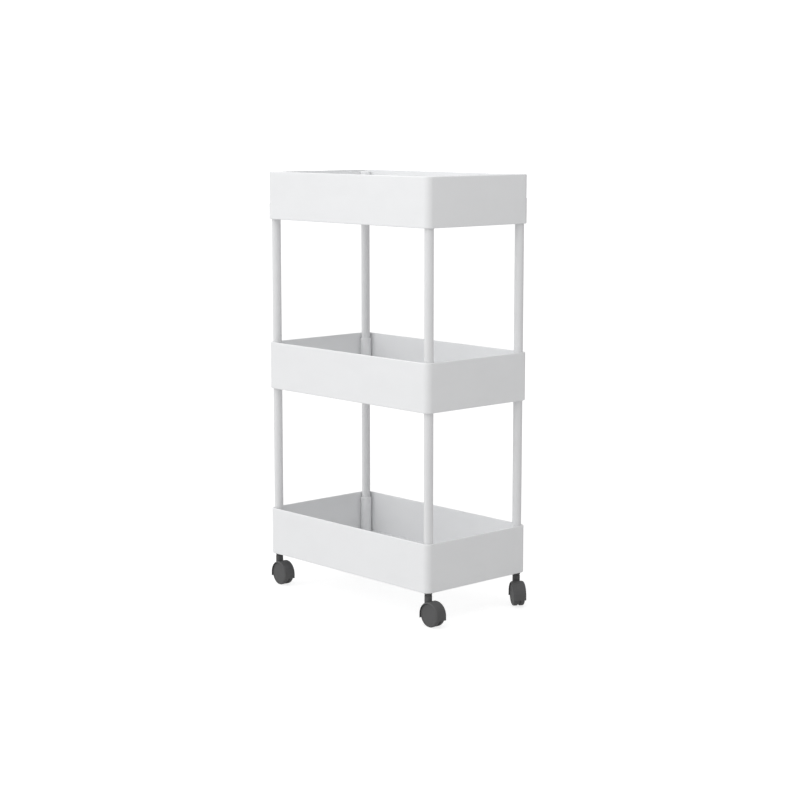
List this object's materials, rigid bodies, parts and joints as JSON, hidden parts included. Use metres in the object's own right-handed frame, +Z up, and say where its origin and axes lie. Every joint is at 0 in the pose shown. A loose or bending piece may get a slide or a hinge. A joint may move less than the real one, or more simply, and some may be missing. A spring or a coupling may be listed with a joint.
{
  "type": "rolling pantry cart",
  "caption": "Slim open storage cart: shallow rectangular white trays stacked on round corner posts, on dark hooded twin-wheel swivel casters.",
  "frame": {"origin": "on the floor under the middle of the cart, at the bottom centre of its bounding box", "axes": "+Z up; +X along the trays' length, towards the right end; +Y towards the back long side, so the front long side faces -Y"},
  "size_m": [0.4428, 0.2285, 0.7145],
  "materials": {
    "tray_plastic": "white moulded plastic, fine satin",
    "post_paint": "white powder-coated steel tube, satin",
    "caster_plastic": "dark grey moulded nylon, matte",
    "wheel_plastic": "dark grey moulded nylon, matte",
    "steel": "zinc-plated steel"
  },
  "bodies": {
    "root": {"tray_bottom": "tray_plastic", "tray_middle": "tray_plastic", "tray_top": "tray_plastic", "post_lower_front_left": "post_paint", "post_lower_front_right": "post_paint", "post_lower_back_left": "post_paint", "post_lower_back_right": "post_paint", "post_upper_front_left": "post_paint", "post_upper_front_right": "post_paint", "post_upper_back_left": "post_paint", "post_upper_back_right": "post_paint", "column_cap_front_left": "tray_plastic", "column_cap_front_right": "tray_plastic", "column_cap_back_left": "tray_plastic", "column_cap_back_right": "tray_plastic", "caster_bush_front_left": "caster_plastic", "caster_bush_front_right": "caster_plastic", "caster_bush_back_left": "caster_plastic", "caster_bush_back_right": "caster_plastic", "caster_stem_front_left": "steel", "caster_stem_front_right": "steel", "caster_stem_back_left": "steel", "caster_stem_back_right": "steel", "grip_ring_front_left": "steel", "grip_ring_front_right": "steel", "grip_ring_back_left": "steel", "grip_ring_back_right": "steel"},
    "caster_front_left": {"caster_hood_front_left": "caster_plastic", "caster_axle_front_left": "steel"},
    "caster_front_right": {"caster_hood_front_right": "caster_plastic", "caster_axle_front_right": "steel"},
    "caster_back_left": {"caster_hood_back_left": "caster_plastic", "caster_axle_back_left": "steel"},
    "caster_back_right": {"caster_hood_back_right": "caster_plastic", "caster_axle_back_right": "steel"},
    "wheel_front_left_left": {"wheel_front_left_left": "wheel_plastic"},
    "wheel_front_left_right": {"wheel_front_left_right": "wheel_plastic"},
    "wheel_front_right_left": {"wheel_front_right_left": "wheel_plastic"},
    "wheel_front_right_right": {"wheel_front_right_right": "wheel_plastic"},
    "wheel_back_left_left": {"wheel_back_left_left": "wheel_plastic"},
    "wheel_back_left_right": {"wheel_back_left_right": "wheel_plastic"},
    "wheel_back_right_left": {"wheel_back_right_left": "wheel_plastic"},
    "wheel_back_right_right": {"wheel_back_right_right": "wheel_plastic"}
  },
  "joints": [
    {"name": "swivel_front_left", "type": "hinge", "parent": "root", "child": "caster_front_left", "pos_m": [-0.1895, -0.1008, 0.046], "axis": [0, 0, 1], "continuous": true},
    {"name": "swivel_front_right", "type": "hinge", "parent": "root", "child": "caster_front_right", "pos_m": [0.1895, -0.1008, 0.046], "axis": [0, 0, 1], "continuous": true},
    {"name": "swivel_back_left", "type": "hinge", "parent": "root", "child": "caster_back_left", "pos_m": [-0.1895, 0.1008, 0.046], "axis": [0, 0, 1], "continuous": true},
    {"name": "swivel_back_right", "type": "hinge", "parent": "root", "child": "caster_back_right", "pos_m": [0.1895, 0.1008, 0.046], "axis": [0, 0, 1], "continuous": true},
    {"name": "roll_front_left_left", "type": "hinge", "parent": "caster_front_left", "child": "wheel_front_left_left", "pos_m": [-0.17903, -0.10153, 0.0195], "axis": [0.0698, 0.9976, 0], "continuous": true},
    {"name": "roll_front_left_right", "type": "hinge", "parent": "caster_front_left", "child": "wheel_front_left_right", "pos_m": [-0.17903, -0.10153, 0.0195], "axis": [0.0698, 0.9976, 0], "continuous": true},
    {"name": "roll_front_right_left", "type": "hinge", "parent": "caster_front_right", "child": "wheel_front_right_left", "pos_m": [0.2, -0.1008, 0.0195], "axis": [0, 1, 0], "continuous": true},
    {"name": "roll_front_right_right", "type": "hinge", "parent": "caster_front_right", "child": "wheel_front_right_right", "pos_m": [0.2, -0.1008, 0.0195], "axis": [0, 1, 0], "continuous": true},
    {"name": "roll_back_left_left", "type": "hinge", "parent": "caster_back_left", "child": "wheel_back_left_left", "pos_m": [-0.2, 0.1008, 0.0195], "axis": [0, -1, 0], "continuous": true},
    {"name": "roll_back_left_right", "type": "hinge", "parent": "caster_back_left", "child": "wheel_back_left_right", "pos_m": [-0.2, 0.1008, 0.0195], "axis": [0, -1, 0], "continuous": true},
    {"name": "roll_back_right_left", "type": "hinge", "parent": "caster_back_right", "child": "wheel_back_right_left", "pos_m": [0.19831, 0.09508, 0.0195], "axis": [0.5446, 0.8387, 0], "continuous": true},
    {"name": "roll_back_right_right", "type": "hinge", "parent": "caster_back_right", "child": "wheel_back_right_right", "pos_m": [0.19831, 0.09508, 0.0195], "axis": [0.5446, 0.8387, 0], "continuous": true}
  ]
}
